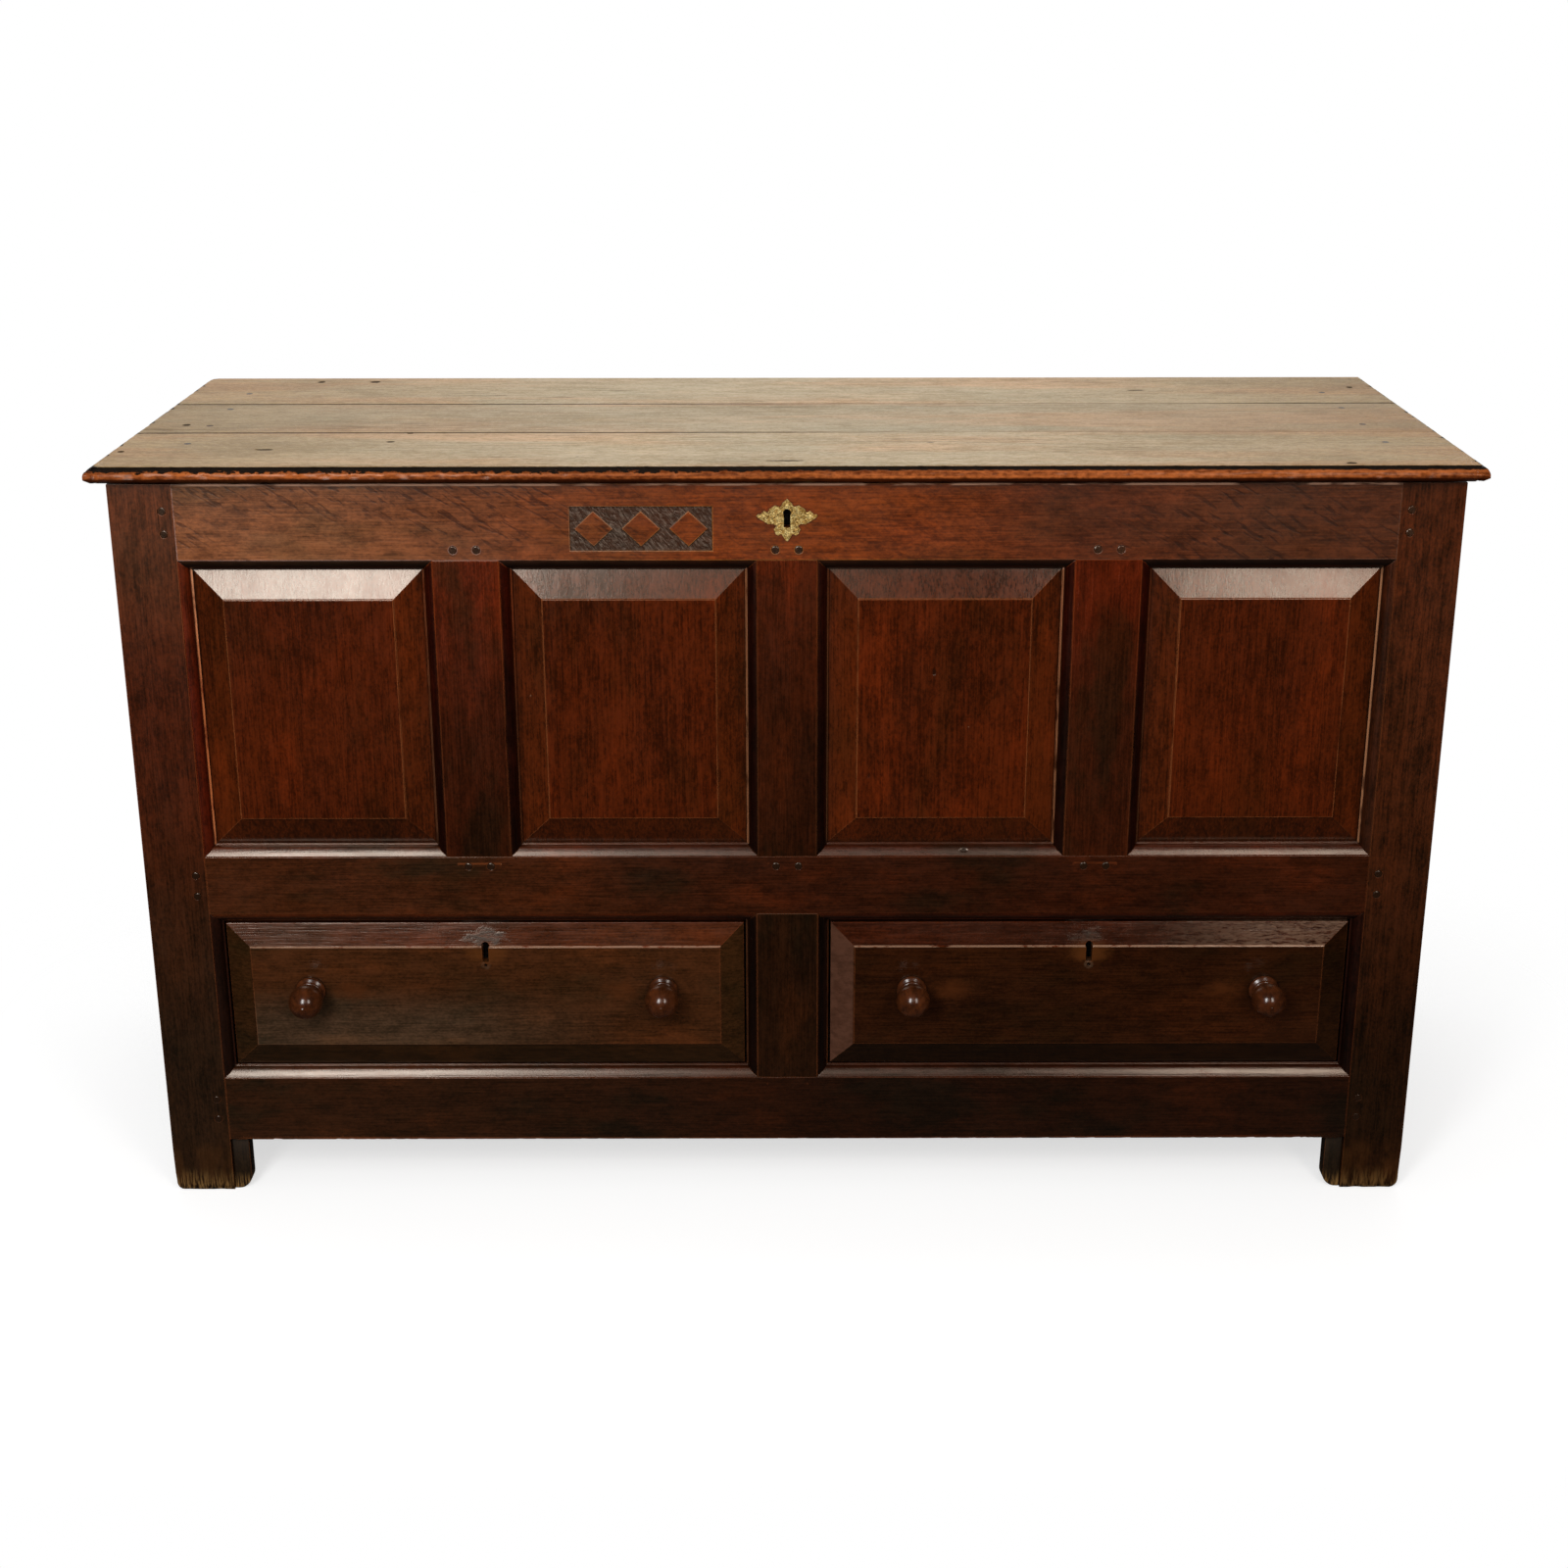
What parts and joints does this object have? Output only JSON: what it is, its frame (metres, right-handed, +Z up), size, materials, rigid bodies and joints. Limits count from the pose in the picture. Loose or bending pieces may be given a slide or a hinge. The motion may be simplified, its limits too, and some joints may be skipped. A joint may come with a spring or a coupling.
{
  "type": "mule chest",
  "caption": "Joined and panelled oak mule chest with a hinged moulded lid over a deep well, and fielded drawers with turned knobs below.",
  "frame": {"origin": "on the floor, under the middle of the whole chest's bounding box", "axes": "+X to the viewer's right along the front, the drawers face -Y, +Z up"},
  "size_m": [1.538, 0.6234, 0.902],
  "materials": {
    "polished_oak": "dark red-brown oak with an old wax polish",
    "lid_oak": "dark oak, waxed, worn and faded on top",
    "dry_oak": "unpolished, dry, smoke-brown oak",
    "drawer_oak": "dry, dusty oak drawer linings",
    "knob_wood": "turned hardwood, French polished",
    "brass": "cast and chased brass, rubbed bright",
    "wrought_iron": "dark hand-forged iron"
  },
  "bodies": {
    "carcass": {"front_left_stile": "polished_oak", "front_right_stile": "polished_oak", "back_left_stile": "polished_oak", "back_right_stile": "polished_oak", "front_top_rail": "polished_oak", "front_middle_rail": "polished_oak", "front_bottom_rail": "polished_oak", "front_muntin_1": "polished_oak", "front_muntin_2": "polished_oak", "front_muntin_3": "polished_oak", "drawer_divider": "polished_oak", "front_panel_1": "polished_oak", "front_panel_2": "polished_oak", "front_panel_3": "polished_oak", "front_panel_4": "polished_oak", "side_top_rails": "polished_oak", "side_middle_rails": "polished_oak", "side_bottom_rails": "polished_oak", "side_muntins": "polished_oak", "side_upper_panels": "polished_oak", "side_lower_panels": "polished_oak", "frame_pegs": "polished_oak", "back_top_rail": "dry_oak", "back_middle_rail": "dry_oak", "back_bottom_rail": "dry_oak", "back_muntins": "dry_oak", "back_panels": "dry_oak", "well_floor_boards": "dry_oak", "drawer_runners": "dry_oak", "drawer_guides": "dry_oak", "drawer_kickers": "dry_oak", "foot_blocks": "dry_oak", "hinge_leaves": "wrought_iron", "hinge_pins": "wrought_iron", "hinge_leaf_nails": "wrought_iron", "chest_lock_case": "wrought_iron", "escutcheon": "brass", "escutcheon_pins": "brass"},
    "lid": {"lid_front_board": "lid_oak", "lid_middle_board": "lid_oak", "lid_back_board": "lid_oak", "lid_battens": "dry_oak", "lid_nails": "wrought_iron", "lid_hasp": "wrought_iron", "hinge_straps": "wrought_iron"},
    "left_drawer": {"left_drawer_front": "polished_oak", "left_drawer_sides": "drawer_oak", "left_drawer_back": "drawer_oak", "left_drawer_bottom": "drawer_oak", "left_drawer_knobs": "knob_wood", "left_drawer_lock": "wrought_iron"},
    "right_drawer": {"right_drawer_front": "polished_oak", "right_drawer_sides": "drawer_oak", "right_drawer_back": "drawer_oak", "right_drawer_bottom": "drawer_oak", "right_drawer_knobs": "knob_wood", "right_drawer_lock": "wrought_iron"},
    "chest_bolt": {"chest_lock_bolt": "wrought_iron"},
    "left_drawer_bolt": {"left_drawer_lock_bolt": "wrought_iron"},
    "right_drawer_bolt": {"right_drawer_lock_bolt": "wrought_iron"}
  },
  "joints": [
    {"name": "lid_hinge", "type": "hinge", "parent": "carcass", "child": "lid", "pos_m": [0, 0.30575, 0.88], "axis": [-1, 0, 0], "range_deg": [0, 95]},
    {"name": "left_drawer_slide", "type": "slide", "parent": "carcass", "child": "left_drawer", "axis": [0, -1, 0], "range_m": [0, 0.36]},
    {"name": "right_drawer_slide", "type": "slide", "parent": "carcass", "child": "right_drawer", "axis": [0, -1, 0], "range_m": [0, 0.36]},
    {"name": "chest_bolt_throw", "type": "slide", "parent": "carcass", "child": "chest_bolt", "axis": [1, 0, 0], "range_m": [0, 0.012]},
    {"name": "left_drawer_bolt_throw", "type": "slide", "parent": "left_drawer", "child": "left_drawer_bolt", "axis": [0, 0, 1], "range_m": [0, 0.009]},
    {"name": "right_drawer_bolt_throw", "type": "slide", "parent": "right_drawer", "child": "right_drawer_bolt", "axis": [0, 0, 1], "range_m": [0, 0.009]}
  ]
}
